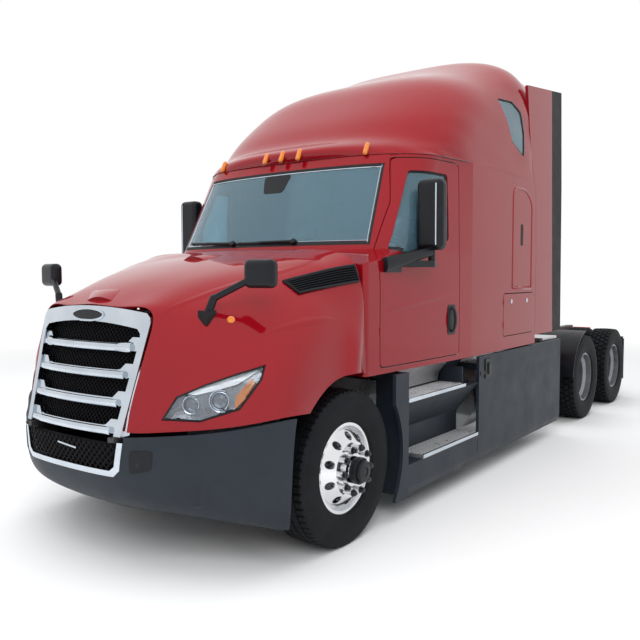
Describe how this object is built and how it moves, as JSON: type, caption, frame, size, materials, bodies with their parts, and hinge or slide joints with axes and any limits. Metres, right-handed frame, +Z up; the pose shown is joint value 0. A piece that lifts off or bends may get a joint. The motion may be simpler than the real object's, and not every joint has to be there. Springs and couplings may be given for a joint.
{
  "type": "semi truck tractor unit",
  "caption": "Conventional long-nose tractor unit with a high-roof sleeper cab, side fairings, tandem drive axles and a coupling plate for a semi-trailer.",
  "frame": {"origin": "on the ground, midway along the length and on the centre plane", "axes": "+Z up, -Y towards the front bumper, +X towards the driver's side"},
  "size_m": [2.722, 8.3639, 3.8523],
  "materials": {
    "red_paint": "glossy metallic paint",
    "dark_plastic": "grained, satin",
    "black_plastic": "satin",
    "chrome": "mirror polish",
    "mesh_black": "satin mesh",
    "lamp_lens": "clear",
    "amber_lens": "clear gloss",
    "red_lens": "clear gloss",
    "window_glass": "tinted",
    "chassis_paint": "satin black",
    "cast_grey": "rough cast, painted",
    "engine_paint": "satin grey",
    "aluminium": "brushed",
    "tread_plate": "raised pattern",
    "steel_plate": "greased steel",
    "polished_wheel": "polished",
    "tyre": "matt",
    "rubber": "matt",
    "dash_plastic": "grained",
    "seat_cloth": "woven",
    "bunk_cloth": "woven"
  },
  "bodies": {
    "chassis": {"cab_shell": "red_paint", "roof_cap": "red_paint", "cab_glass": "window_glass", "extenders": "red_paint", "extender_rubber": "rubber", "marker_lamps": "amber_lens", "frame": "chassis_paint", "front_brackets": "chassis_paint", "front_axle": "cast_grey", "drive_axle_front": "cast_grey", "drive_axle_rear": "cast_grey", "engine": "engine_paint", "driveline": "engine_paint", "fuel_tanks": "aluminium", "fifth_wheel_base": "chassis_paint", "deck_plate": "tread_plate", "mudflaps": "rubber", "quarter_fenders": "black_plastic", "tail_lamps": "red_lens", "side_fairings": "dark_plastic", "steps": "tread_plate", "bumper": "dark_plastic", "bumper_trim": "chrome", "bumper_grille": "mesh_black", "dashboard": "dash_plastic", "steering_wheel": "black_plastic", "seats": "seat_cloth", "bunk": "bunk_cloth"},
    "hood_group": {"hood": "red_paint", "grille_surround": "chrome", "grille_mesh": "mesh_black", "hood_hinges": "chassis_paint", "headlamps": "lamp_lens", "hood_mirrors": "black_plastic"},
    "door_left_group": {"door_left": "red_paint", "door_glass_left": "window_glass", "mirror_left": "black_plastic"},
    "door_right_group": {"door_right": "red_paint", "door_glass_right": "window_glass", "mirror_right": "black_plastic"},
    "baggage_left_group": {"baggage_door_left": "red_paint"},
    "baggage_right_group": {"baggage_door_right": "red_paint"},
    "fifth_wheel_group": {"fifth_wheel_plate": "steel_plate"},
    "knuckle_left_group": {"knuckle_left": "cast_grey"},
    "knuckle_right_group": {"knuckle_right": "cast_grey"},
    "tie_rod_group": {"tie_rod": "cast_grey"},
    "wheels_front_left": {"wheel_front_left": "polished_wheel", "tyre_front_left": "tyre"},
    "wheels_front_right": {"wheel_front_right": "polished_wheel", "tyre_front_right": "tyre"},
    "wheels_middle_left": {"wheel_middle_left": "polished_wheel", "tyre_middle_left": "tyre"},
    "wheels_middle_right": {"wheel_middle_right": "polished_wheel", "tyre_middle_right": "tyre"},
    "wheels_rear_left": {"wheel_rear_left": "polished_wheel", "tyre_rear_left": "tyre"},
    "wheels_rear_right": {"wheel_rear_right": "polished_wheel", "tyre_rear_right": "tyre"}
  },
  "joints": [
    {"name": "steer_left", "type": "hinge", "parent": "chassis", "child": "knuckle_left_group", "pos_m": [0.88, -2.915, 0.505], "axis": [0, 0, 1], "range_deg": [-45, 45]},
    {"name": "steer_right", "type": "hinge", "parent": "chassis", "child": "knuckle_right_group", "pos_m": [-0.88, -2.915, 0.505], "axis": [0, 0, 1], "range_deg": [-45, 45]},
    {"name": "tie_rod_pivot", "type": "hinge", "parent": "knuckle_left_group", "child": "tie_rod_group", "pos_m": [0.88, -2.725, 0.386], "axis": [0, 0, 1], "range_deg": [-45, 45]},
    {"name": "spin_front_left", "type": "hinge", "parent": "knuckle_left_group", "child": "wheels_front_left", "pos_m": [1.036, -2.915, 0.505], "axis": [1, 0, 0], "continuous": true},
    {"name": "spin_front_right", "type": "hinge", "parent": "knuckle_right_group", "child": "wheels_front_right", "pos_m": [-1.036, -2.915, 0.505], "axis": [1, 0, 0], "continuous": true},
    {"name": "spin_middle_left", "type": "hinge", "parent": "chassis", "child": "wheels_middle_left", "pos_m": [0.8765, 2.215, 0.505], "axis": [1, 0, 0], "continuous": true},
    {"name": "spin_middle_right", "type": "hinge", "parent": "chassis", "child": "wheels_middle_right", "pos_m": [-0.8765, 2.215, 0.505], "axis": [1, 0, 0], "continuous": true},
    {"name": "spin_rear_left", "type": "hinge", "parent": "chassis", "child": "wheels_rear_left", "pos_m": [0.8765, 3.535, 0.505], "axis": [1, 0, 0], "continuous": true},
    {"name": "spin_rear_right", "type": "hinge", "parent": "chassis", "child": "wheels_rear_right", "pos_m": [-0.8765, 3.535, 0.505], "axis": [1, 0, 0], "continuous": true},
    {"name": "hood_tilt", "type": "hinge", "parent": "chassis", "child": "hood_group", "pos_m": [0, -4.15, 0.82], "axis": [1, 0, 0], "range_deg": [0, 70]},
    {"name": "door_left_swing", "type": "hinge", "parent": "chassis", "child": "door_left_group", "pos_m": [1.16348, -2.517, 1.33], "axis": [0, 0, -1], "range_deg": [0, 70]},
    {"name": "door_right_swing", "type": "hinge", "parent": "chassis", "child": "door_right_group", "pos_m": [-1.16348, -2.517, 1.33], "axis": [0, 0, 1], "range_deg": [0, 70]},
    {"name": "baggage_left_swing", "type": "hinge", "parent": "chassis", "child": "baggage_left_group", "pos_m": [1.22, -0.499, 1.26], "axis": [0, 0, -1], "range_deg": [0, 100]},
    {"name": "baggage_right_swing", "type": "hinge", "parent": "chassis", "child": "baggage_right_group", "pos_m": [-1.22, -0.499, 1.26], "axis": [0, 0, 1], "range_deg": [0, 100]},
    {"name": "fifth_wheel_tilt", "type": "hinge", "parent": "chassis", "child": "fifth_wheel_group", "pos_m": [0, 2.775, 1.112], "axis": [1, 0, 0], "range_deg": [-15, 15]}
  ],
  "couplings": [
    {"joint": "steer_right", "follows": "steer_left", "ratio": 1},
    {"joint": "tie_rod_pivot", "follows": "steer_left", "ratio": -1}
  ]
}
